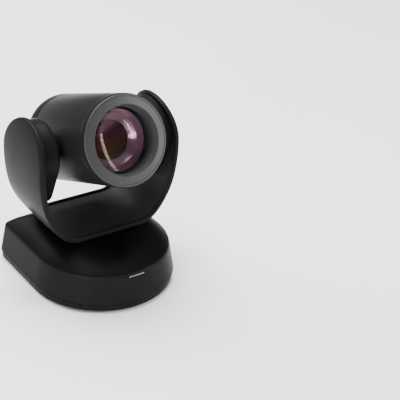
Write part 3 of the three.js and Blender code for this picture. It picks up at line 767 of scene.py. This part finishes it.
usb, lan, din = mouth("usb_port"), mouth("lan_port"), mouth("speaker_port")
usb_frame = mouth_frame("usb_frame", usb, *USB_HALF)
dress(usb_frame, "steel", "base", "steel")
lan_frame = mouth_frame("lan_frame", lan, *LAN_HALF)
dress(lan_frame, "steel", "base", "steel")
lan_pins = []
for k in range(PIN_COUNT):
    x = k - (PIN_COUNT - 1) / 2
    lan_pins.append(inside("lan_pin", lan, (x - 0.2, -9, 2.6), (x + 0.2, -2, 3.2), 0.08 * MM))
dress(joined("lan_contacts", lan_pins), "contact", "base", "brass")
tongue = inside("usb_tongue", usb, (-2.8, -10, -1.4), (2.8, -1.5, 1.4), 0.3 * MM)
dress(tongue, "black", "base", "black_plastic")
din_frame = turned("speaker_frame", [
    (4.75, -10.0, 0), (4.75, 0.3, 0.1), (4.25, 0.3, 0.1), (4.25, -10.0, 0),
], 48, Matrix.Translation(din), 2)
dress(din_frame, "steel", "base", "steel")
pin_outline = [(0, -11.5, 0), (0.35, -11.5, 0), (0.35, -5.2, 0.15), (0, -5.0, 0)]
din_pins = []
for k in range(PIN_COUNT):
    a = 2 * math.pi * k / PIN_COUNT
    spot = Matrix.Translation(din + DIN_CIRCLE * Vector((math.cos(a), 0, math.sin(a))))
    din_pins.append(turned("din_pin", pin_outline, 12, spot, 2))
dress(joined("speaker_contacts", din_pins), "contact", "base", "brass")

# ---------------------------------------------------------------- carried-over CAD nodes
SLOT_FINISH = {
    "charcoal_shell": "charcoal", "front_ring": "ring", "black_plastic": "black", "rubber": "rubber",
    "steel": "steel", "brass": "brass", "circuit_board": "board", "indicator": "window",
    "aluminium": "aluminium", "glass": "pupil",
}
slots = {part["node"]: part["material_slot"] for part in frame["record"]["subparts"]}
for node, obj in frame["nodes"].items():
    obj.data.materials.clear()
    # The tilt shafts take dark steel: painted shade for the gap they sit in.
    finish = "dark_steel" if node.startswith("tilt_shaft") else SLOT_FINISH[slots[node]]
    obj.data.materials.append(MATERIALS[finish])

# ---------------------------------------------------------------- floor, light and camera
FLOOR = 6.0  # half of its side
floor_corners = [(FLOOR * u, FLOOR * v, 0) for u, v in ((-1, -1), (1, -1), (1, 1), (-1, 1))]
floor = make("floor", floor_corners, [(0, 1, 2, 3)])
floor.location.z = -0.2 * MM
floor.data.materials.append(material("pale_floor", grey(0.86), grey(0.88), 0.6, 300, 0.0, mottle=3))
floor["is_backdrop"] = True

world = bpy.data.worlds.new("studio")
bpy.context.scene.world = world
world.use_nodes = True
world.node_tree.nodes["Background"].inputs["Color"].default_value = (1, 1, 1, 1)
world.node_tree.nodes["Background"].inputs["Strength"].default_value = 0.20


def softbox(name, azimuth, elevation, distance, width, height, power):
    """A rectangular light aimed at the camera's middle, at an azimuth measured like the viewer's."""
    a, e = math.radians(azimuth), math.radians(elevation)
    direction = Vector((math.sin(a) * math.cos(e), -math.cos(a) * math.cos(e), math.sin(e)))
    light = bpy.data.lights.new(name, "AREA")
    light.shape = "RECTANGLE"
    light.size, light.size_y, light.energy = width, height, power
    obj = bpy.data.objects.new(name, light)
    obj.location = Vector((0, PAN_Y, 0.1)) + direction * distance
    obj.rotation_euler = direction.to_track_quat("Z", "Y").to_euler()
    bpy.context.scene.collection.objects.link(obj)


# Angles are in degrees, distances and sizes in metres, powers in watts.
softbox("key", -58, 7, 1.7, 0.4, 0.5, 20)
softbox("front_low", -32, 6, 2.2, 0.14, 0.5, 5)
softbox("back_left", -160, 38, 1.8, 1.1, 0.8, 20)
softbox("top", 175, 75, 2.2, 1.8, 1.8, 175)
softbox("lens_light", 50, 20, 1.6, 0.16, 1.4, 22)

# The viewer's place is measured from the tilt axis. The line of sight passes to the object's right,
# because the object stands left of the frame's middle, and a small roll keeps its axis upright there.
EYE = Vector((-0.4833, -0.8214, 0.4723))
SIGHT_AZIMUTH, SIGHT_ELEVATION, ROLL = (math.radians(angle) for angle in (-36.86, 29.29, 3.87))
back = Vector((
    math.sin(SIGHT_AZIMUTH) * math.cos(SIGHT_ELEVATION),
    -math.cos(SIGHT_AZIMUTH) * math.cos(SIGHT_ELEVATION),
    math.sin(SIGHT_ELEVATION),
))
camera_data = bpy.data.cameras.new("viewer")
camera_data.sensor_width = 36
camera_data.lens = 100.0
camera = bpy.data.objects.new("viewer", camera_data)
level = back.to_track_quat("Z", "Y").to_matrix().to_4x4()
camera.matrix_world = Matrix.Translation(pivot + EYE) @ level @ Matrix.Rotation(ROLL, 4, "Z")
bpy.context.scene.collection.objects.link(camera)
bpy.context.scene.camera = camera

low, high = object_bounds()
